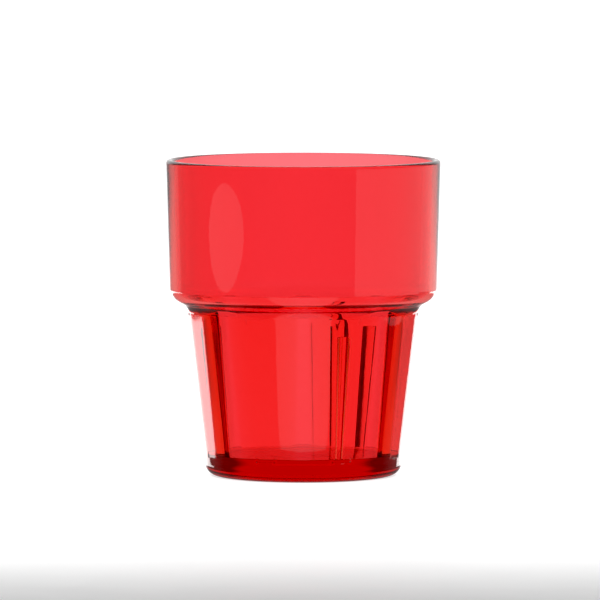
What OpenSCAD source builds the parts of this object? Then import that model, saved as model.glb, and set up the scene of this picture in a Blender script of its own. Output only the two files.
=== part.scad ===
// Stackable plastic rocks glass, moulded in one piece: a round collar with a
// soft shoulder, a hollow rounded neck, a tapered body that is round outside
// and eight-sided inside, a thick floor, and three stacking lugs.

/* [Collar] */
// Outer diameter at the rim
rim_d = 82.5; // [78:0.5:90]
// Outer diameter where the collar meets the shoulder
collar_d = 80.1; // [77:0.1:82]
// Height of the collar, from the shoulder corner to the rim
collar_h = 41.2; // [32:0.1:50]
// Wall of the collar
collar_wall = 2.1; // [1.6:0.1:2.8]
// Rounding of the lip, inside and outside
lip_r = 0.95; // [0.3:0.05:1]

/* [Shoulder] */
// Slope of the shoulder above level, in degrees
shoulder_slope = 29; // [22:1:40]
// Outer rounding where the shoulder turns up into the collar
shoulder_r = 4.8; // [3:0.1:6]
// Inner rounding where the shoulder turns up into the collar
shoulder_inner_r = 3; // [1.5:0.1:4]
// Thickness of the shoulder, measured across it
shoulder_wall = 1.9; // [1.6:0.1:2.6]

/* [Neck] */
// Height at which the body meets the shoulder, above the table
neck_z = 50.9; // [48:0.1:56]
// Hollow rounding between the body and the shoulder
neck_r = 3.2; // [1.5:0.1:4]
// Inner rounding between the shoulder and the body
neck_inner_r = 6; // [4:0.1:7]

/* [Body] */
// Outer diameter at the top of the body
body_top_d = 69.9; // [66:0.1:71]
// Outer diameter just above the foot
body_foot_d = 59.2; // [54:0.1:62]
// Thickness of the wall in the corners between two inner panels
corner_wall = 2.2; // [1.6:0.1:2.8]
// Number of panels round the body
panels = 8; // [6:1:12]
// Depth of the narrow outer panels at the top
flat_top = 0.3; // [0.1:0.05:0.8]
// Depth of the narrow outer panels at the foot
flat_foot = 0.15; // [0.1:0.05:0.8]
// How far the outer panels stop short of the foot
flat_margin = 0.3; // [0.2:0.1:3]
// How far the outer panels stop short of the neck
neck_margin = 1.9; // [1.8:0.1:4]
// How far the inner panels stand in from the corners at the top
panel_top = 1.8; // [0.8:0.05:2.2]
// How far the inner panels stand in from the corners at the floor
panel_foot = 1.2; // [0.8:0.05:2]

/* [Foot] */
// Outer diameter of the foot
foot_d = 58.9; // [57:0.1:59.4]
// Height of the foot, up to the body
foot_h = 5.8; // [5:0.1:7]
// Rounding of the foot's lower edge
foot_edge_r = 3.6; // [1:0.1:4.5]
// Height of the inner floor above the table
floor_h = 6.8; // [6.5:0.1:10]
// Diameter of the recess under the foot
recess_d = 44; // [36:0.5:48]
// Depth of the recess under the foot
recess_depth = 1.2; // [0.6:0.1:2]
// Rounding of the recess's edges
recess_r = 0.6; // [0.2:0.1:0.8]
// Diameter of the gate mark in the middle of the recess
gate_d = 4; // [2:0.5:6]
// Height of the gate mark
gate_h = 0.4; // [0.2:0.1:0.5]

/* [Stacking lugs] */
// Bearings of the stacking lugs, each in the middle of a panel, in degrees
lug_bearings = [-67.5, 67.5, 157.5];
// Height of the lugs' tops above the table
lug_z = 43.8; // [34:0.2:46]
// Width of a lug at its top, where it is half round
lug_top_d = 4; // [3.2:0.1:4.4]
// Width of a lug at the floor, where it is half round
lug_floor_d = 2.2; // [1.6:0.1:3]
// Rounding of the lugs' top corners
lug_r = 1.2; // [0.2:0.1:1.4]

/* [Hidden] */
$fn = 96;

// Steps of each rounded corner in a section
arc_steps = 8;
// How far a cutting solid runs past what it cuts
over = 1;

panel_step = 360 / panels;
first_panel = panel_step / 2;

shoulder = [collar_d / 2, neck_z + (collar_d - body_top_d) / 2 * tan(shoulder_slope)];
rim_z = shoulder[1] + collar_h;

// The shoulder's inner face is the outer one, moved in by the wall
shoulder_lift = shoulder_wall / cos(shoulder_slope);
inner_shoulder = [collar_d / 2 - collar_wall,
                  shoulder[1] + shoulder_lift - collar_wall * tan(shoulder_slope)];

body_h = neck_z - foot_h;
body_taper = (body_top_d - body_foot_d) / 2 / body_h;
panel_taper = body_taper - (panel_top - panel_foot) / body_h;

// The inner face turns down just inside the panels' middles, and ends above the lugs
turn_gap = 0.05;
turn_r0 = panel_at(0) - turn_gap;
inner_neck_z = (inner_shoulder[1] - (inner_shoulder[0] - turn_r0) * tan(shoulder_slope))
               / (1 - panel_taper * tan(shoulder_slope));
turn_end_z = lug_z + 0.5;

// How far the top of the body's hollow runs up past the neck
hollow_rise = 2;

// Outer radius of the body at a height
function body_at(z) = body_foot_d / 2 + body_taper * (z - foot_h);
// How far up the body a height is, from 0 at the foot to 1 at the neck
function share(z) = (z - foot_h) / body_h;
// Distance of an outer panel from the middle of the glass at a height
function flat_at(z) = body_at(z) - flat_foot - (flat_top - flat_foot) * share(z);
// Distance of an inner panel from the middle of the glass at a height
function panel_at(z) =
    body_at(z) - corner_wall - panel_foot - (panel_top - panel_foot) * share(z);
// Distance of the inner face's lower part from the middle of the glass at a height
function turn_at(z) = turn_r0 + panel_taper * z;

function unit(v) = v / norm(v);

// The short way round from one direction to another, in degrees
function turn(from, to) =
    let (d = atan2(to[1], to[0]) - atan2(from[1], from[0]))
    d > 180 ? d - 360 : d < -180 ? d + 360 : d;

// Points of the arc of radius r that rounds the corner b between a and c
function corner_arc(a, b, c, r) =
    let (u = unit(a - b),
         v = unit(c - b),
         half = acos(u * v) / 2,
         middle = b + unit(u + v) * r / sin(half),
         start = b + u * r / tan(half) - middle,
         finish = b + v * r / tan(half) - middle,
         first = atan2(start[1], start[0]),
         sweep = turn(start, finish))
    [for (i = [0:arc_steps])
        let (angle = first + sweep * i / arc_steps)
        middle + r * [cos(angle), sin(angle)]];

// A section from corners of the form [radius, height, rounding]
function section(corners) =
    let (n = len(corners),
         flat = [for (c = corners) [c[0], c[1]]])
    [for (i = [0:n - 1])
        each corners[i][2] == 0
            ? [flat[i]]
            : corner_arc(flat[(i + n - 1) % n], flat[i], flat[(i + 1) % n], corners[i][2])];

// The glass turned as a solid of revolution, its body still round and filled
module turned_blank() {
    rotate_extrude()
        polygon(section([
            [0, recess_depth, 0],
            [recess_d / 2, recess_depth, recess_r],
            [recess_d / 2 + recess_depth, 0, recess_r],
            [foot_d / 2, 0, foot_edge_r],
            [body_foot_d / 2, foot_h, 0],
            [body_top_d / 2, neck_z, neck_r],
            [shoulder[0], shoulder[1], shoulder_r],
            [rim_d / 2, rim_z, lip_r],
            [rim_d / 2 - collar_wall, rim_z, lip_r],
            [inner_shoulder[0], inner_shoulder[1], shoulder_inner_r],
            [turn_at(inner_neck_z), inner_neck_z, neck_inner_r],
            [turn_at(turn_end_z), turn_end_z, 0],
            [0, turn_end_z, 0]
        ]));
}

// A slab whose near face leans from distance low at height z0 to distance high at z1
module leaning_slab(low, high, z0, z1, width, depth) {
    rotate([90, 0, 0])
        translate([0, 0, -width / 2])
            linear_extrude(width)
                polygon([[low, z0], [low + depth, z0], [high + depth, z1], [high, z1]]);
}

// One leaning slab in front of each panel
module panel_slabs(low, high, z0, z1) {
    depth = 12;
    for (i = [0:panels - 1])
        rotate(first_panel + i * panel_step)
            leaning_slab(low, high, z0, z1, body_top_d, depth);
}

// What is cut from the outside of the body to leave its narrow panels
module outer_cuts() {
    low = foot_h + flat_margin;
    high = neck_z - neck_margin;
    panel_slabs(flat_at(low), flat_at(high), low, high);
}

// The hollow of the body: a cone through the corners, flattened at each panel
module body_hollow() {
    low = floor_h;
    high = neck_z + hollow_rise;
    difference() {
        translate([0, 0, low])
            cylinder(r1 = body_at(low) - corner_wall, r2 = body_at(high) - corner_wall,
                     h = high - low);
        panel_slabs(panel_at(low - over), panel_at(high + over), low - over, high + over);
    }
}

// The outline that cuts a lug level at the top, seen from the middle of the glass
module lug_front() {
    side = lug_top_d / 2 + 0.2;
    polygon(section([
        [-side, 0, 0],
        [side, 0, 0],
        [side, lug_z, lug_r],
        [-side, lug_z, lug_r]
    ]));
}

// A half-round rib that leans with its panel and widens to a level top to stack on
module stacking_lug() {
    widening = (lug_top_d - lug_floor_d) / 2 / (lug_z - floor_h);
    intersection() {
        translate([panel_at(floor_h), 0, floor_h])
            rotate([0, atan(panel_taper), 0])
                translate([0, 0, -over])
                    cylinder(r1 = lug_floor_d / 2 - widening * over,
                             r2 = lug_top_d / 2 + widening * 2 * over,
                             h = lug_z - floor_h + 3 * over);
        translate([panel_at(floor_h) - lug_top_d, 0, 0])
            rotate([90, 0, 90])
                linear_extrude(3 * lug_top_d)
                    lug_front();
    }
}

module stacking_lugs() {
    for (bearing = lug_bearings)
        rotate(bearing)
            stacking_lug();
}

// The mark that the moulding gate leaves in the middle of the recess
module gate_mark() {
    translate([0, 0, recess_depth - gate_h])
        cylinder(d = gate_d, h = gate_h + over);
}

module tumbler() {
    color([0.86, 0.05, 0.07, 0.6])
        union() {
            difference() {
                turned_blank();
                outer_cuts();
                difference() {
                    body_hollow();
                    stacking_lugs();
                }
            }
            gate_mark();
        }
}

tumbler();
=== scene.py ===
import math

import bpy
import numpy as np
from bpy.props import FloatProperty, FloatVectorProperty, IntProperty, PointerProperty
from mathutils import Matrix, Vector


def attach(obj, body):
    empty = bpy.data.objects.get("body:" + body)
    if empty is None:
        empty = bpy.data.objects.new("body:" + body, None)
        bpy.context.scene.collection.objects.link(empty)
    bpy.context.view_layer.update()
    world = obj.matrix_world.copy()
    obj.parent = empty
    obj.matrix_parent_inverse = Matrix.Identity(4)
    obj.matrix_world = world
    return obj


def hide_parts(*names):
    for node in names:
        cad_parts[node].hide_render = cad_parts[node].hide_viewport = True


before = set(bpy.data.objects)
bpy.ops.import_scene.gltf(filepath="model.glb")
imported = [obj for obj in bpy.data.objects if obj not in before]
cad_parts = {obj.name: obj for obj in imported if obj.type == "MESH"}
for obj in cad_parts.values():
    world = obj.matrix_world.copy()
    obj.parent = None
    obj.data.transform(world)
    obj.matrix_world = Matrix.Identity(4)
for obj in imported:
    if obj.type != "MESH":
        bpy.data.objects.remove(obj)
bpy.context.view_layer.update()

bl_info = {
    "name": "Plastic rocks glass",
    "version": (1, 0, 0),
    "blender": (4, 5, 0),
    "location": "View3D > Sidebar > Rocks Glass",
    "description": "Builds a stackable clear red tumbler and a pale stage for it",
    "category": "Object",
}

MM = 0.001

# Bearings of the stacking lugs in degrees, anticlockwise from the side that faces the camera
LUG_BEARINGS = (22.5, 157.5, 247.5)

# Even columns of points round the glass, and columns across each lug
COLUMNS = 480
LUG_COLUMNS = 37
# Turns in radians from a lug's side to the column beside it, and to the first even one
BESIDE_LUG = 0.002
CLEAR_OF_LUG = 0.004
# Turn in radians from a lug's middle within which the columns follow its sides
LUG_REACH = 0.25
# Share of a lug's half width from which its side is less polished and takes the painted shade tint
FLANK_SHARE = 0.55

# Steps in the rounded corners of the foot, of the collar and round the floor
FOOT_STEPS = 8
COLLAR_STEPS = 12
FLOOR_STEPS = 6
# Rings up the outer panels and down the lugs, and shares of the floor's radius with a ring
PANEL_RINGS = 20
LUG_RINGS = 16
FLOOR_SHARES = (0.9, 0.6, 0.3)

# Height in which an outer panel runs out
RUN_OUT = 0.1 * MM
# Rounding of the gate mark
GATE_R = 0.1 * MM
# How far below the neck the section starts, only to give its direction
NECK_RUN = 4 * MM
# How far the inner turn stands in from the panels' middles, and ends above the lugs
TURN_GAP = 0.05 * MM
TURN_END = 0.5 * MM
# Softness of the edge where the inner turn meets the panels
TURN_BLEND = 0.3 * MM
# Height of the edge between a lug's top and the bare wall
LUG_STEP = 0.02 * MM
# Room at each side of a lug in the outline that rounds its top
LUG_ROOM = 0.2 * MM
# Edges of the mesh that are bent more than this stay sharp
SHARP_ANGLE = math.radians(30)

# Distance of the camera from the middle of the glass and its height, in metres
CAMERA_DISTANCE = 2.405
CAMERA_HEIGHT = 0.223
# Width of the camera's sensor in millimetres, and of the picture in pixels
SENSOR_WIDTH = 36
PICTURE_WIDTH = 600
# Share of the floor's light that rays other than the camera's own find
INDIRECT_GLOW = 0.8

# Lean of the body's and the collar's outer walls from upright, in degrees
BODY_LEAN = 6.76
COLLAR_LEAN = 1.67
# Lowest and highest point on each wall that a card lights, and the slack in slope past them
BODY_SPAN = (0.004, 0.05, 0.002)
COLLAR_SPAN = (0.056, 0.095, 0.035)


# ---------------------------------------------------------------- settings


def length(name, words, value):
    """A length in metres, with its default given in millimetres."""
    return FloatProperty(name=name, description=words, default=value * MM,
                         subtype="DISTANCE", unit="LENGTH", precision=5)


def number(name, words, value, **more):
    """A plain number."""
    return FloatProperty(name=name, description=words, default=value, **more)


def colour(name, words, value):
    """A colour whose parts run from 0 to 1."""
    return FloatVectorProperty(name=name, description=words, default=value, size=3,
                               subtype="COLOR", min=0, max=1)


class TumblerShape(bpy.types.PropertyGroup):
    """Sizes of the glass, as in the part's source"""
    rim_d: length("Rim", "Outer diameter at the rim", 82.5)
    collar_d: length("Collar", "Outer diameter where the collar meets the shoulder", 80.1)
    collar_h: length("Collar height", "From the shoulder corner to the rim", 41.2)
    collar_wall: length("Collar wall", "Thickness of the collar", 2.1)
    lip_r: length("Lip rounding", "Rounding of the lip, inside and outside", 0.95)
    shoulder_slope: number("Shoulder slope", "Slope above level", math.radians(29),
                           subtype="ANGLE", unit="ROTATION")
    shoulder_r: length("Shoulder rounding", "Outer turn into the collar", 4.8)
    shoulder_inner_r: length("Inner rounding", "Inner turn into the collar", 3.0)
    shoulder_wall: length("Shoulder wall", "Thickness measured across the shoulder", 1.9)
    neck_z: length("Neck height", "Where the body meets the shoulder", 50.9)
    neck_r: length("Neck rounding", "Hollow between the body and the shoulder", 3.2)
    neck_inner_r: length("Inner neck rounding", "Inner turn from the shoulder to the body", 6.0)
    body_top_d: length("Body top", "Outer diameter at the top of the body", 69.9)
    body_foot_d: length("Body foot", "Outer diameter just above the foot", 59.2)
    corner_wall: length("Corner wall", "Wall between two inner panels", 2.2)
    panels: IntProperty(name="Panels", description="Number of panels round the body", default=8)
    flat_top: length("Outer panels, top", "Depth of the outer panels at the top", 0.3)
    flat_foot: length("Outer panels, foot", "Depth of the outer panels at the foot", 0.15)
    flat_margin: length("Panel margin", "How far the outer panels stop short of the foot", 0.3)
    neck_margin: length("Neck margin", "How far the outer panels stop short of the neck", 1.9)
    panel_top: length("Inner panels, top", "How far they stand in at the top", 1.8)
    panel_foot: length("Inner panels, foot", "How far they stand in at the floor", 1.2)
    foot_d: length("Foot", "Outer diameter of the foot", 58.9)
    foot_h: length("Foot height", "Height of the foot, up to the body", 5.8)
    foot_edge_r: length("Foot rounding", "Rounding of the lower edge", 3.6)
    floor_h: length("Floor", "Height of the inner floor", 6.8)
    floor_r: length("Floor corner", "Hollow rounding round the inner floor", 0.3)
    recess_d: length("Recess", "Diameter of the recess under the foot", 44)
    recess_depth: length("Recess depth", "Depth of the recess", 1.2)
    recess_r: length("Recess rounding", "Rounding of the recess's edges", 0.6)
    gate_d: length("Gate mark", "Diameter of the gate mark", 4)
    gate_h: length("Gate mark height", "Height of the gate mark", 0.4)
    lug_z: length("Lug tops", "Height of the lugs' tops", 43.8)
    lug_top_d: length("Lug, top", "Width of a half-round lug at its top", 4.0)
    lug_floor_d: length("Lug, floor", "Width of a half-round lug at the floor", 2.2)
    lug_r: length("Lug rounding", "Rounding of the lugs' top corners", 1.2)
    blend: length("Panel blend", "Softness of the edges between panels", 0.15)


class TumblerFinish(bpy.types.PropertyGroup):
    """Look of the clear red plastic"""
    tint: colour("Surface tint", "Colour each wall lets through", (1.0, 0.255, 0.335))
    # Painted shade: a dark tint on the lugs' sides and tops in place of their dark refraction
    # lines
    lug_painted_shade_tint: colour("Lug painted shade", "Painted shade tint on the lugs' sides and tops", (0.45, 0.02, 0.01))
    lug_roughness: number("Lug roughness", "Of the lugs' less polished sides and tops", 0.12)
    dye: colour("Dye", "Colour left by a long way through", (0.984, 0.769, 0.66))
    dye_density: number("Dye density", "Absorption per metre", 650)
    ior: number("Refractive index", "Of the clear plastic", 1.57)
    roughness: number("Roughness", "Of the polished skin", 0.02)
    wear: number("Wear", "How much handling has dulled it", 0.03)
    ripple: number("Ripple", "Strength of the moulded waviness", 0.05)


class StageSettings(bpy.types.PropertyGroup):
    """Floor, light and camera"""
    floor_size: length("Floor", "Width of the floor", 14000)
    # The floor glows as a painted pool of light, brightest behind the glass
    glow: number("Floor light", "Brightness of the lit floor", 1.0)
    edge_glow: number("Floor edge", "Share of the floor's light at its sides and front", 0.25)
    # Painted shadow: the share of the floor's glow left under the glass
    under_glass_painted_shadow: number("Floor under the glass", "Share of the floor's light there", 0.35)
    front: number("Front light", "Brightness of the room in front", 0.45)
    back: number("Back light", "Brightness of the room behind", 1.15)
    screened: number("Screened light", "Brightness of the dim room that the plastic mirrors", 0.25)
    distance: length("Camera distance", "From the middle of the glass", CAMERA_DISTANCE / MM)
    eye: length("Camera height", "Above the floor", CAMERA_HEIGHT / MM)
    scale: number("Scale", "Metres to a pixel at the glass", 0.0003005, precision=6)
    axis_px: number("Axis", "Pixels from the picture's middle to the glass's axis", 3.3)
    base_px: number("Base", "Pixels from the picture's middle down to the base", 175.2)


# ---------------------------------------------------------------- shape


def signed(turn):
    """The same turn, between half a turn back and half a turn on."""
    return (turn + math.pi) % (2 * math.pi) - math.pi


def rounded(corners, steps):
    """Points along a section whose corners are (radius, height, rounding)."""
    points = []
    for i, (r, z, rounding) in enumerate(corners):
        b = np.array((r, z))
        if rounding == 0 or i in (0, len(corners) - 1):
            points.append(tuple(b))
            continue
        u = np.array(corners[i - 1][:2]) - b
        v = np.array(corners[i + 1][:2]) - b
        u, v = u / np.linalg.norm(u), v / np.linalg.norm(v)
        half = math.acos(float(np.clip(u @ v, -1, 1))) / 2
        middle = b + (u + v) / np.linalg.norm(u + v) * rounding / math.sin(half)
        start = b + u * rounding / math.tan(half) - middle
        end = b + v * rounding / math.tan(half) - middle
        first = math.atan2(start[1], start[0])
        sweep = signed(math.atan2(end[1], end[0]) - first)
        for k in range(steps + 1):
            angle = first + sweep * k / steps
            points.append((middle[0] + rounding * math.cos(angle),
                           middle[1] + rounding * math.sin(angle)))
    return points


def between(a, b, part):
    """The point that lies part of the way from a to b."""
    return tuple(p + (q - p) * part for p, q in zip(a, b))


def soft_least(a, b, soft):
    """The smaller of a and b, with the crossing rounded off."""
    h = np.clip(0.5 + 0.5 * (b - a) / soft, 0, 1)
    return b * (1 - h) + a * h - soft * h * (1 - h)


class Tumbler:
    """Rings of points for the glass, each with one radius for every bearing round it."""

    def __init__(self, s, lug_bearings):
        self.s = s
        self.step = 2 * math.pi / s.panels
        self.lugs = [math.radians(d) for d in lug_bearings]
        self.body_h = s.neck_z - s.foot_h
        # Half of the turn that a lug's top takes up
        self.lug_edge = s.lug_top_d / 2 / self.panel(s.lug_z)
        self.bearings = self.all_bearings()
        nearest = [signed(self.bearings - lug) for lug in self.lugs]
        self.off_lug = np.choose(np.argmin(np.abs(nearest), axis=0), nearest)

    def all_bearings(self):
        """Even steps, with more across each lug at its top."""
        edge = self.lug_edge
        even = np.linspace(0, 2 * math.pi, COLUMNS, endpoint=False)
        clear = [b for b in even
                 if min(abs(signed(b - lug)) for lug in self.lugs) > edge + CLEAR_OF_LUG]
        turns = np.linspace(-math.pi / 2, math.pi / 2, LUG_COLUMNS)
        across = [lug + edge * math.sin(turn) for lug in self.lugs for turn in turns]
        beside = [lug + side * (edge + BESIDE_LUG) for lug in self.lugs for side in (-1, 1)]
        return np.sort(np.mod(np.array(clear + across + beside), 2 * math.pi))

    def share(self, z):
        """How far up the body a height is, from 0 at the foot to 1 at the neck."""
        return (z - self.s.foot_h) / self.body_h

    def cone(self, z):
        """Outer radius of the body's corners."""
        s = self.s
        return s.body_foot_d / 2 + (s.body_top_d - s.body_foot_d) / 2 * self.share(z)

    def panel(self, z):
        """Distance of the inner panels from the middle of the glass."""
        s = self.s
        stand_in = s.panel_foot + (s.panel_top - s.panel_foot) * self.share(z)
        return self.cone(z) - s.corner_wall - stand_in

    def ring(self, r):
        """The same value at every bearing."""
        return np.full_like(self.bearings, r)

    def off_panel(self, bearings):
        """How far each bearing is from the middle of its panel."""
        return bearings % self.step - self.step / 2

    def outside(self, z):
        """Outer face of the body, with its narrow panels."""
        s = self.s
        depth = s.flat_foot + (s.flat_top - s.flat_foot) * self.share(z)
        ends = min(z - s.foot_h - s.flat_margin, s.neck_z - s.neck_margin - z)
        depth *= float(np.clip(ends / RUN_OUT + 1, 0, 1))
        flat = (self.cone(z) - depth) / np.cos(self.off_panel(self.bearings))
        return soft_least(self.ring(self.cone(z)), flat, s.blend)

    def inside(self, z, bearings=None):
        """Inner face of the body, with its wide panels."""
        s = self.s
        bearings = self.bearings if bearings is None else bearings
        corner = self.ring(self.cone(z) - s.corner_wall)
        return soft_least(corner, self.panel(z) / np.cos(self.off_panel(bearings)), s.blend)

    def lugged(self, z):
        """The inside with its half-round lugs, and bearings that keep to the lugs' sides."""
        s = self.s
        off = np.abs(self.off_lug)
        across = off / self.lug_edge
        up = (z - s.floor_h) / (s.lug_z - s.floor_h)
        rib = (s.lug_floor_d + (s.lug_top_d - s.lug_floor_d) * up) / 2
        side = np.where(across <= 1, across * rib, 0)
        reach = self.panel(z) - np.sqrt(np.maximum(rib ** 2 - side ** 2, 0))
        near = np.arctan2(side, reach)
        edge = rib / self.panel(z)
        far = edge + (off - self.lug_edge) * (LUG_REACH - edge) / (LUG_REACH - self.lug_edge)
        moved = np.where(across <= 1, near, np.where(off < LUG_REACH, far, off))
        bearings = self.bearings + np.sign(self.off_lug) * (moved - off)
        inside = self.inside(z, bearings)
        face = np.where(across <= 1, np.hypot(side, reach), inside)
        return np.minimum(face, inside), bearings

    def lug_tops(self):
        """Height of the lugs' tops at each column, rounded down at their sides."""
        s = self.s
        off = np.abs(self.off_lug)
        side = np.minimum(off / self.lug_edge, 1) * s.lug_top_d / 2
        aside = np.maximum(side - (s.lug_top_d / 2 + LUG_ROOM - s.lug_r), 0)
        drop = s.lug_r - np.sqrt(s.lug_r ** 2 - aside ** 2)
        return s.lug_z - drop * np.interp(off, [self.lug_edge, LUG_REACH], [1, 0])

    def inner_neck(self, inner_r, inner_z, slope):
        """Corners of the inner turn, which meets the panels just inside their middles."""
        s = self.s
        z = s.neck_z
        # The panels lean, so the height where the two faces meet is closed in on
        for _ in range(40):
            z = inner_z - (inner_r - self.panel(z)) * slope
        end = s.lug_z + TURN_END
        return [(self.panel(z) - TURN_GAP, z, s.neck_inner_r),
                (self.panel(end) - TURN_GAP, end, 0)]

    def foot_rings(self, gate_top):
        """Rings from the gate mark out over the recess and the foot."""
        s = self.s
        foot = rounded([
            (0, gate_top, 0), (s.gate_d / 2, gate_top, GATE_R),
            (s.gate_d / 2 + GATE_R, s.recess_depth, GATE_R),
            (s.recess_d / 2, s.recess_depth, s.recess_r),
            (s.recess_d / 2 + s.recess_depth, 0, s.recess_r),
            (s.foot_d / 2, 0, s.foot_edge_r), (s.body_foot_d / 2, s.foot_h, 0)], FOOT_STEPS)
        return [(self.ring(r), z) for r, z in foot[1:]]

    def body_rings(self):
        """Rings up the outside of the body, with its panels."""
        s = self.s
        low, high = s.foot_h + s.flat_margin, s.neck_z - s.neck_margin
        heights = [low - RUN_OUT, *np.linspace(low, high, PANEL_RINGS), high + RUN_OUT]
        return [(self.outside(z), z) for z in heights]

    def collar_rings(self):
        """Rings over the neck, the shoulder and the lip, and down inside to the panels."""
        s = self.s
        slope = math.tan(s.shoulder_slope)
        shoulder_z = s.neck_z + (s.collar_d - s.body_top_d) / 2 * slope
        rim_z = shoulder_z + s.collar_h
        lift = s.shoulder_wall / math.cos(s.shoulder_slope)
        inner_r = s.collar_d / 2 - s.collar_wall
        inner_z = shoulder_z + lift - s.collar_wall * slope
        low = s.neck_z - NECK_RUN
        collar = rounded([
            (self.cone(low), low, 0), (s.body_top_d / 2, s.neck_z, s.neck_r),
            (s.collar_d / 2, shoulder_z, s.shoulder_r),
            (s.rim_d / 2, rim_z, s.lip_r), (s.rim_d / 2 - s.collar_wall, rim_z, s.lip_r),
            (inner_r, inner_z, s.shoulder_inner_r),
            *self.inner_neck(inner_r, inner_z, slope)], COLLAR_STEPS)
        turned = collar[-COLLAR_STEPS - 2:-1]
        rings = [(self.ring(r), z) for r, z in collar[1:-COLLAR_STEPS - 2]]
        first, second = turned[:2]
        for r, z in [first, between(first, second, 1 / 3), between(first, second, 2 / 3),
                     *turned[1:]]:
            rings.append((-soft_least(-self.ring(r), -self.inside(z), TURN_BLEND), z))
        return rings

    def lug_rings(self, low):
        """Rings from the inner turn, which ends at height low, down the lugs to the floor."""
        s = self.s
        tops = self.lug_tops()
        half_way = low + (tops - low) * 0.5
        above = tops + LUG_STEP
        face, bearings = self.lugged(tops)
        rings = [(self.inside(half_way), half_way), (self.inside(above), above),
                 (self.inside(above, bearings), above, bearings), (face, tops, bearings)]
        for k in range(1, LUG_RINGS + 1):
            down = k / LUG_RINGS
            level = s.lug_z + (s.floor_h + s.floor_r - s.lug_z) * down
            # The bend of the tops fades out over the first quarter
            z = level + (tops - s.lug_z) * max(1 - down * 4, 0)
            face, bearings = self.lugged(z)
            rings.append((face, z, bearings))
        for k in range(1, FLOOR_STEPS + 1):
            turn = math.pi / 2 * k / FLOOR_STEPS
            rings.append((face - s.floor_r * (1 - math.cos(turn)),
                          s.floor_h + s.floor_r * (1 - math.sin(turn)), bearings))
        rings += [((face - s.floor_r) * part, s.floor_h, bearings) for part in FLOOR_SHARES]
        return rings

    def mesh(self, name):
        """One closed mesh, with the lugs' sides and tops in the second material slot, which paints
        shade on them.
        """
        gate_top = self.s.recess_depth - self.s.gate_h
        rings = self.foot_rings(gate_top) + self.body_rings() + self.collar_rings()
        rings += self.lug_rings(rings[-1][1])
        n = len(self.bearings)
        points = []
        for r, z, *own in rings:
            bearings = own[0] if own else self.bearings
            points.append(np.stack([r * np.sin(bearings), -r * np.cos(bearings), self.ring(z)],
                                   axis=1))
        points = np.concatenate(points + [[[0, 0, gate_top], [0, 0, self.s.floor_h]]])
        i = np.arange(n)
        j = (i + 1) % n
        across = np.abs(self.off_lug) / self.lug_edge
        on_lug = np.maximum(across, across[j]) <= 1.001
        on_flank = on_lug & (np.minimum(across, across[j]) >= FLANK_SHARE)
        off_lugs = np.zeros(n, bool)
        cap = [len(ring) for ring in rings].index(3)
        lugs_end = len(rings) - 1 - FLOOR_STEPS - len(FLOOR_SHARES)
        faces, dull = [], []
        for k in range(len(rings) - 1):
            a, b = k * n, (k + 1) * n
            faces += np.stack([a + i, a + j, b + j, b + i], axis=1).tolist()
            # Faces on the lugs' tops and outer sides take the second material, rougher and tinted
            # dark as painted shade
            row = on_lug if k == cap else on_flank if cap < k < lugs_end else off_lugs
            dull += row.astype(int).tolist()
        last = (len(rings) - 1) * n
        under, floor = len(points) - 2, len(points) - 1
        faces += [[under, int(q), int(p)] for p, q in zip(i, j)]
        faces += [[floor, int(last + p), int(last + q)] for p, q in zip(i, j)]
        mesh = bpy.data.meshes.new(name)
        mesh.from_pydata(points.tolist(), [], faces)
        mesh.polygons.foreach_set("material_index", dull + [0] * (len(faces) - len(dull)))
        mesh.shade_smooth()
        mesh.set_sharp_from_angle(angle=SHARP_ANGLE)
        return mesh


# ---------------------------------------------------------------- finishes


def feed(tree, place, value):
    """Set an input to a value, or link it to the output that feeds it."""
    if isinstance(value, bpy.types.NodeSocket):
        tree.links.new(value, place)
    else:
        place.default_value = value


def add_math(tree, operation, *values):
    """The result of one calculation on values or outputs."""
    node = tree.nodes.new("ShaderNodeMath")
    node.operation = operation
    for place, value in zip(node.inputs, values):
        feed(tree, place, value)
    return node.outputs[0]


def add_mix(tree, factor, a, b):
    """A blend from a to b."""
    node = tree.nodes.new("ShaderNodeMix")
    for title, value in (("Factor", factor), ("A", a), ("B", b)):
        feed(tree, node.inputs[title], value)
    return node.outputs["Result"]


def add_range(tree, source, start, end, low=0.0, high=1.0, kind="SMOOTHSTEP"):
    """What runs from low to high while its source runs from start to end."""
    node = tree.nodes.new("ShaderNodeMapRange")
    node.interpolation_type = kind
    for title, value in (("Value", source), ("From Min", start), ("From Max", end),
                         ("To Min", low), ("To Max", high)):
        feed(tree, node.inputs[title], value)
    return node.outputs["Result"]


def add_parts(tree, source):
    """The x, y and z of a vector, as the outputs of one node."""
    node = tree.nodes.new("ShaderNodeSeparateXYZ")
    tree.links.new(source, node.inputs["Vector"])
    return node.outputs


def add_noise(tree, source, scale, detail):
    """A noise pattern on the coordinates given."""
    node = tree.nodes.new("ShaderNodeTexNoise")
    for title, value in (("Vector", source), ("Scale", scale), ("Detail", detail)):
        feed(tree, node.inputs[title], value)
    return node.outputs["Fac"]


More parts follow.
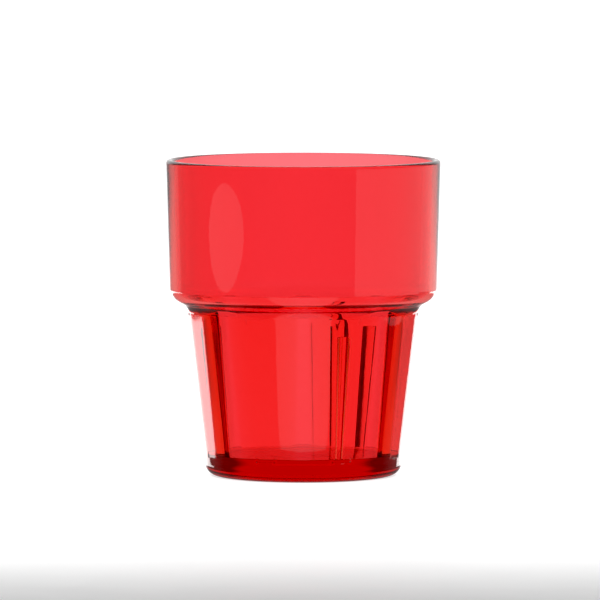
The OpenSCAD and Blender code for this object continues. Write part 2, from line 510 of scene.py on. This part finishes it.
def moulded_skin():
    """Node group: a mould's slow ripple and fine grain, and the haze that handling leaves."""
    name = "Moulded skin"
    if name in bpy.data.node_groups:
        return bpy.data.node_groups[name]
    tree = bpy.data.node_groups.new(name, "ShaderNodeTree")
    for title, value in (("Ripple size", 60.0), ("Grain size", 900.0),
                         ("Polish", 0.02), ("Wear", 0.03)):
        made = tree.interface.new_socket(title, in_out="INPUT", socket_type="NodeSocketFloat")
        made.default_value = value
    for title in ("Height", "Roughness"):
        tree.interface.new_socket(title, in_out="OUTPUT", socket_type="NodeSocketFloat")
    inputs = tree.nodes.new("NodeGroupInput").outputs
    outputs = tree.nodes.new("NodeGroupOutput").inputs
    place = tree.nodes.new("ShaderNodeTexCoord").outputs["Object"]
    ripple = add_noise(tree, place, inputs["Ripple size"], 2)
    grain = add_noise(tree, place, inputs["Grain size"], 4)
    tree.links.new(add_mix(tree, 0.04, ripple, grain), outputs["Height"])
    haze = add_range(tree, add_noise(tree, place, 45, 6), 0.45, 0.75, kind="LINEAR")
    dull = add_math(tree, "MULTIPLY", haze, inputs["Wear"])
    tree.links.new(add_math(tree, "ADD", dull, inputs["Polish"]), outputs["Roughness"])
    return tree


def new_material(name):
    """A material, its node tree and its Principled shader."""
    material = bpy.data.materials.new(name)
    material.use_nodes = True
    return material, material.node_tree, material.node_tree.nodes["Principled BSDF"]


def add_skin(tree, shader, ripple_size, grain_size, polish, wear):
    """Give a shader the moulded skin's roughness, and return the skin's height."""
    skin = tree.nodes.new("ShaderNodeGroup")
    skin.node_tree = moulded_skin()
    for title, value in (("Ripple size", ripple_size), ("Grain size", grain_size),
                         ("Polish", polish), ("Wear", wear)):
        skin.inputs[title].default_value = value
    tree.links.new(skin.outputs["Roughness"], shader.inputs["Roughness"])
    return skin.outputs["Height"]


def clear_red_plastic(finish, name, tint, roughness):
    """Refracting plastic, tinted at its skin and dyed through; on the lugs the darker skin tint is
    painted shade.
    """
    material, tree, shader = new_material(name)
    shader.inputs["Base Color"].default_value = (*tint, 1)
    shader.inputs["IOR"].default_value = finish.ior
    shader.inputs["Transmission Weight"].default_value = 1.0
    height = add_skin(tree, shader, 55, 1400, roughness, finish.wear)
    bump = tree.nodes.new("ShaderNodeBump")
    bump.inputs["Strength"].default_value = finish.ripple
    bump.inputs["Distance"].default_value = 0.4 * MM
    tree.links.new(height, bump.inputs["Height"])
    tree.links.new(bump.outputs["Normal"], shader.inputs["Normal"])
    dye = tree.nodes.new("ShaderNodeVolumeAbsorption")
    dye.inputs["Color"].default_value = (*finish.dye, 1)
    dye.inputs["Density"].default_value = finish.dye_density
    tree.links.new(dye.outputs["Volume"], tree.nodes["Material Output"].inputs["Volume"])
    return material


def pale_floor(stage):
    """A floor glowing with a painted pool of light, dimmer far aside and in front, with a painted
    shadow under the glass.
    """
    material, tree, shader = new_material("Pale floor with painted light and shadow")
    shader.inputs["Base Color"].default_value = (0.5, 0.5, 0.5, 1)
    shader.inputs["Specular IOR Level"].default_value = 0.2
    add_skin(tree, shader, 8, 400, 0.55, 0.1)
    place = tree.nodes.new("ShaderNodeTexCoord").outputs["Object"]
    parts = add_parts(tree, place)
    # The painted pool of light widens behind the glass
    behind = add_math(tree, "MAXIMUM", add_math(tree, "SUBTRACT", parts["Y"], 0.15), 0)
    side = add_math(tree, "ABSOLUTE", parts["X"])
    aside = add_math(tree, "MULTIPLY_ADD", behind, -0.9, side)
    middle = tree.nodes.new("ShaderNodeVectorMath")
    middle.operation = "LENGTH"
    tree.links.new(place, middle.inputs[0])
    at_sides = add_range(tree, aside, 0.13, 0.3, 1.0, stage.edge_glow)
    in_front = add_range(tree, parts["Y"], -0.15, -0.4, 1.0, stage.edge_glow)
    # Painted shadow: the glow dims in a disc under the glass
    under = add_range(tree, middle.outputs["Value"], 0.03, 0.024, 1.0, stage.under_glass_painted_shadow)
    lit = add_math(tree, "MULTIPLY", under, add_math(tree, "MULTIPLY", in_front, at_sides))
    tree.links.new(lit, shader.inputs["Emission Color"])
    path = tree.nodes.new("ShaderNodeLightPath")
    seen = add_range(tree, path.outputs["Is Camera Ray"], 0, 1,
                     stage.glow * INDIRECT_GLOW, stage.glow, "LINEAR")
    tree.links.new(seen, shader.inputs["Emission Strength"])
    return material


def window(away, left, right, lean, span):
    """Corners of a standing card behind the glass, where a leaning wall mirrors the camera.

    It covers the bearings left to right of straight back, and the span of heights on the wall.
    """
    low, high, slack = span

    def edge(bearing, z, give):
        turn = math.radians(bearing)
        far = away / math.cos(turn)
        fall = (CAMERA_HEIGHT - z) / CAMERA_DISTANCE
        fall += math.sin(math.radians(2 * lean)) * math.sin(abs(turn) / 2)
        return (away * math.tan(turn), away, z - far * (fall - give))

    bearings = [left + (right - left) * k / 10 for k in range(11)]
    return ([edge(bearing, low, -slack) for bearing in bearings]
            + [edge(bearing, high, slack) for bearing in bearings[::-1]])


def oval(middle, across, tall):
    """Corners of a standing oval card."""
    turns = [2 * math.pi * k / 32 for k in range(32)]
    return [(middle[0] + across[0] * math.cos(t), middle[1] + across[1] * math.cos(t),
             middle[2] + tall * math.sin(t)) for t in turns]


# Name, corners and brightness of each reflector card
CARDS = (
    ("card_left_body", window(1.5, -49, -2, BODY_LEAN, BODY_SPAN), 2.8),
    ("card_right_body", window(1.5, 2, 37.4, BODY_LEAN, BODY_SPAN), 2.8),
    ("card_front", [(-0.012, -0.04, 0.0062), (0.012, -0.04, 0.0062),
                    (0.115, -0.21, 0.0062), (-0.115, -0.21, 0.0062)], 0.65),
    ("card_left_back", window(0.9, -50, -17, COLLAR_LEAN, COLLAR_SPAN), 0.37),
    ("card_right_back", window(0.9, 17, 63, COLLAR_LEAN, COLLAR_SPAN), 0.7),
    ("card_left_collar", oval((-0.425, -0.18, 0.028), (0.053, -0.1345), 0.036), 0.7),
    ("card_right_collar", [(0.334, -0.356, -0.04), (0.426, 0.205, -0.04),
                           (0.426, 0.205, 0.09), (0.334, -0.356, 0.09)], 0.65),
)


# ---------------------------------------------------------------- operators


class OBJECT_OT_rocks_glass(bpy.types.Operator):
    """Build the tumbler with its panels, lugs and thick floor, in clear red plastic"""
    bl_idname = "object.rocks_glass"
    bl_label = "Build the rocks glass"

    def execute(self, context):
        scene = context.scene
        tumbler = Tumbler(scene.rocks_glass_shape, LUG_BEARINGS)
        piece = bpy.data.objects.new("glass_shell", tumbler.mesh("glass_shell"))
        context.collection.objects.link(piece)
        finish = scene.rocks_glass_finish
        piece.data.materials.append(clear_red_plastic(finish, "Clear red plastic",
                                                      finish.tint, finish.roughness))
        # The lugs' material is rougher, and its darker tint is painted shade
        piece.data.materials.append(clear_red_plastic(finish, "Clear red plastic with painted shade on the lugs",
                                                      finish.lug_painted_shade_tint, finish.lug_roughness))
        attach(piece, "root")
        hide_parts("tumbler")
        return {"FINISHED"}


class OBJECT_OT_rocks_glass_stage(bpy.types.Operator):
    """Set out the pale floor, the soft room light and the camera"""
    bl_idname = "object.rocks_glass_stage"
    bl_label = "Set the stage"

    def execute(self, context):
        scene = context.scene
        stage = scene.rocks_glass_stage
        self.lay_floor(context, stage)
        self.stand_cards(context)
        self.light_room(scene, stage)
        self.aim_camera(context, stage)
        scene.view_settings.view_transform = "Standard"
        scene.view_settings.use_curve_mapping = True
        scene.view_settings.curve_mapping.black_level = (0.02, 0.02, 0.02)
        scene.cycles.max_bounces = 48
        scene.cycles.transmission_bounces = 48
        scene.cycles.glossy_bounces = 48
        return {"FINISHED"}

    def lay_floor(self, context, stage):
        """The floor, which lights the glass but doesn't mirror in it."""
        half = stage.floor_size / 2
        mesh = bpy.data.meshes.new("pale_floor")
        mesh.from_pydata([(-half, -half, 0), (half, -half, 0), (half, half, 0), (-half, half, 0)],
                         [], [(0, 1, 2, 3)])
        floor = bpy.data.objects.new("pale_floor", mesh)
        floor.data.materials.append(pale_floor(stage))
        context.collection.objects.link(floor)
        floor.visible_glossy = False

    def stand_cards(self, context):
        """Lit cards that the lens doesn't see, and that only show mirrored in the plastic."""
        for name, corners, strength in CARDS:
            mesh = bpy.data.meshes.new(name)
            mesh.from_pydata(corners, [], [list(range(len(corners)))])
            card = bpy.data.objects.new(name, mesh)
            material, _, shader = new_material(name)
            shader.inputs["Base Color"].default_value = (0, 0, 0, 1)
            shader.inputs["Emission Color"].default_value = (1, 1, 1, 1)
            shader.inputs["Emission Strength"].default_value = strength
            mesh.materials.append(material)
            context.collection.objects.link(card)
            card.visible_camera = False
            card.visible_transmission = False
            card.visible_diffuse = False
            card.visible_shadow = False

    def light_room(self, scene, stage):
        """Light that is brighter behind, with a dimmer room of its own for what mirrors."""
        world = bpy.data.worlds.new("Soft room")
        scene.world = world
        world.use_nodes = True
        tree = world.node_tree
        parts = add_parts(tree, tree.nodes.new("ShaderNodeTexCoord").outputs["Generated"])
        clear = add_range(tree, parts["Y"], 0.8, 0.96, stage.front, stage.back)
        upward = add_math(tree, "MULTIPLY_ADD", parts["Z"], 0.4, parts["Y"])
        mirrored = add_range(tree, upward, 0.82, 0.92, stage.screened, 1.0)
        path = tree.nodes.new("ShaderNodeLightPath")
        strength = add_mix(tree, path.outputs["Is Glossy Ray"], clear, mirrored)
        background = tree.nodes["Background"]
        background.inputs["Color"].default_value = (1, 1, 1, 1)
        tree.links.new(strength, background.inputs["Strength"])

    def aim_camera(self, context, stage):
        """A long lens, aimed so that the glass stands where the photograph has it."""
        lens = bpy.data.cameras.new("camera")
        camera = bpy.data.objects.new("camera", lens)
        context.collection.objects.link(camera)
        aim = Vector((-stage.axis_px * stage.scale, 0, stage.base_px * stage.scale))
        camera.location = (aim.x, -stage.distance, stage.eye)
        drop = stage.eye - aim.z
        camera.rotation_euler = (math.pi / 2 - math.atan2(drop, stage.distance), 0, 0)
        lens.sensor_width = SENSOR_WIDTH
        picture = PICTURE_WIDTH * stage.scale
        lens.lens = SENSOR_WIDTH * math.hypot(drop, stage.distance) / picture
        lens.clip_end = 100
        context.scene.camera = camera


class VIEW3D_PT_rocks_glass(bpy.types.Panel):
    """Lists the steps that build the glass and its stage"""
    bl_label = "Rocks Glass"
    bl_idname = "VIEW3D_PT_rocks_glass"
    bl_space_type = "VIEW_3D"
    bl_region_type = "UI"
    bl_category = "Rocks Glass"

    def draw(self, context):
        for step in STEPS:
            self.layout.operator(step.bl_idname)


STEPS = (OBJECT_OT_rocks_glass, OBJECT_OT_rocks_glass_stage)
CLASSES = (TumblerShape, TumblerFinish, StageSettings, *STEPS, VIEW3D_PT_rocks_glass)
SETTINGS = {"rocks_glass_shape": TumblerShape, "rocks_glass_finish": TumblerFinish,
            "rocks_glass_stage": StageSettings}


def register():
    for made in CLASSES:
        bpy.utils.register_class(made)
    for name, group in SETTINGS.items():
        setattr(bpy.types.Scene, name, PointerProperty(type=group))


def unregister():
    for name in SETTINGS:
        delattr(bpy.types.Scene, name)
    for made in reversed(CLASSES):
        bpy.utils.unregister_class(made)


def main():
    register()
    bpy.ops.object.rocks_glass()
    bpy.ops.object.rocks_glass_stage()


if __name__ == "__main__":
    main()
